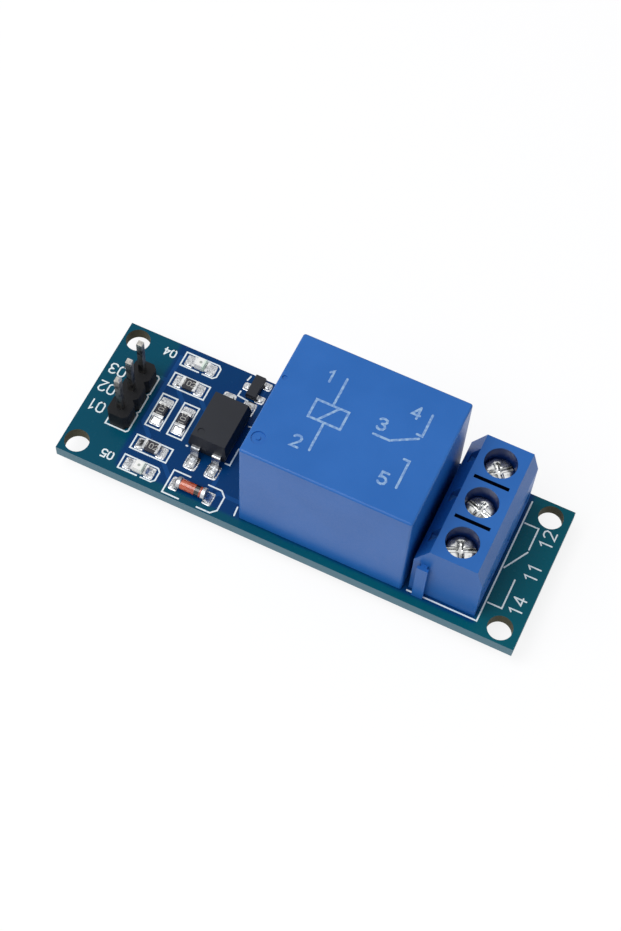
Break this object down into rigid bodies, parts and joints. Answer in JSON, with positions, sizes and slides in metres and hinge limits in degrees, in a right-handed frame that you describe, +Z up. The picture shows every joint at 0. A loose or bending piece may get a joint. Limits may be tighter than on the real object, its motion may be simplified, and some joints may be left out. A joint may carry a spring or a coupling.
{
  "type": "relay module board",
  "caption": "Narrow circuit board with a sealed cube relay, a screw terminal block, a pin header, an optocoupler and small surface-mounted parts.",
  "frame": {"origin": "centre of the four mounting holes, on the board's underside", "axes": "+X along the board from the pin header to the screw terminal, +Z up out of the component side"},
  "size_m": [0.0544, 0.0178, 0.0191],
  "materials": {
    "solder_mask": "blue-green solder mask over glass laminate, satin",
    "relay_blue": "moulded blue plastic, satin",
    "terminal_blue": "moulded blue plastic, satin",
    "relay_base_blue": "moulded blue plastic, matt",
    "magnet_steel": "zinc-plated steel",
    "bobbin_white": "moulded nylon",
    "winding_copper": "enamelled copper wire",
    "spring_bronze": "rolled bronze strip",
    "contact_silver": "silver, polished",
    "tinned_metal": "tin plate, slightly dull",
    "plated_brass": "nickel-plated brass",
    "screw_zinc": "bright zinc plate",
    "header_black": "moulded black plastic, satin",
    "mould_black": "moulded epoxy, fine matt",
    "resistor_glaze": "black glaze, glossy",
    "lamp_white": "white laminate",
    "lamp_clear": "cast clear resin, slightly milky",
    "diode_glass": "orange-tinted glass",
    "die_grey": "silicon, dull",
    "solder_joint": "tin solder, satin"
  },
  "bodies": {
    "board": {"circuit_board": "solder_mask", "relay_cover": "relay_blue", "relay_base": "relay_base_blue", "relay_yoke": "magnet_steel", "relay_core": "magnet_steel", "relay_bobbin": "bobbin_white", "relay_winding": "winding_copper", "relay_coil_pins": "tinned_metal", "relay_closed_contact": "contact_silver", "relay_open_contact": "contact_silver", "relay_closed_blade": "tinned_metal", "relay_open_blade": "tinned_metal", "relay_common_blade": "tinned_metal", "terminal_housing": "terminal_blue", "header_body": "header_black", "optocoupler_body": "mould_black", "optocoupler_leads": "tinned_metal", "transistor_body": "mould_black", "transistor_leads": "tinned_metal", "diode_glass": "diode_glass", "diode_caps": "tinned_metal", "diode_die": "die_grey", "surface_solder": "solder_joint", "relay_solder": "solder_joint", "terminal_solder": "solder_joint", "header_solder": "solder_joint", "terminal_frame_1": "plated_brass", "header_pin_1": "tinned_metal", "terminal_frame_2": "plated_brass", "header_pin_2": "tinned_metal", "terminal_frame_3": "plated_brass", "header_pin_3": "tinned_metal", "resistor_1_body": "resistor_glaze", "resistor_1_ends": "tinned_metal", "resistor_2_body": "resistor_glaze", "resistor_2_ends": "tinned_metal", "resistor_3_body": "resistor_glaze", "resistor_3_ends": "tinned_metal", "resistor_4_body": "resistor_glaze", "resistor_4_ends": "tinned_metal", "power_lamp_base": "lamp_white", "power_lamp_lens": "lamp_clear", "power_lamp_ends": "tinned_metal", "switch_lamp_base": "lamp_white", "switch_lamp_lens": "lamp_clear", "switch_lamp_ends": "tinned_metal"},
    "armature": {"relay_armature": "magnet_steel", "relay_contact_spring": "spring_bronze", "relay_moving_contact": "contact_silver"},
    "clamp_1": {"terminal_plate_1": "magnet_steel"},
    "screw_1": {"terminal_screw_1": "screw_zinc"},
    "clamp_2": {"terminal_plate_2": "magnet_steel"},
    "screw_2": {"terminal_screw_2": "screw_zinc"},
    "clamp_3": {"terminal_plate_3": "magnet_steel"},
    "screw_3": {"terminal_screw_3": "screw_zinc"}
  },
  "joints": [
    {"name": "armature_rock", "type": "hinge", "parent": "board", "child": "armature", "pos_m": [-0.00154, -0.00015, 0.0136], "axis": [0, 1, 0], "range_deg": [0, 3.4], "stiffness_Nm_per_rad": 0.01, "springref_deg": -5.73},
    {"name": "clamp_1_travel", "type": "slide", "parent": "board", "child": "clamp_1", "axis": [0, 0, 1], "range_m": [-0.00187, 0]},
    {"name": "screw_1_turn", "type": "hinge", "parent": "clamp_1", "child": "screw_1", "pos_m": [0.0187, -0.00463, 0.0052], "axis": [0, 0, 1], "range_deg": [-1600, 100]},
    {"name": "clamp_2_travel", "type": "slide", "parent": "board", "child": "clamp_2", "axis": [0, 0, 1], "range_m": [-0.00187, 0]},
    {"name": "screw_2_turn", "type": "hinge", "parent": "clamp_2", "child": "screw_2", "pos_m": [0.0187, 0.00045, 0.0052], "axis": [0, 0, 1], "range_deg": [-1600, 100]},
    {"name": "clamp_3_travel", "type": "slide", "parent": "board", "child": "clamp_3", "axis": [0, 0, 1], "range_m": [-0.00187, 0]},
    {"name": "screw_3_turn", "type": "hinge", "parent": "clamp_3", "child": "screw_3", "pos_m": [0.0187, 0.00553, 0.0052], "axis": [0, 0, 1], "range_deg": [-1600, 100]}
  ],
  "couplings": [
    {"joint": "screw_1_turn", "follows": "clamp_1_travel", "rad_per_m": 13963},
    {"joint": "screw_2_turn", "follows": "clamp_2_travel", "rad_per_m": 13963},
    {"joint": "screw_3_turn", "follows": "clamp_3_travel", "rad_per_m": 13963}
  ]
}
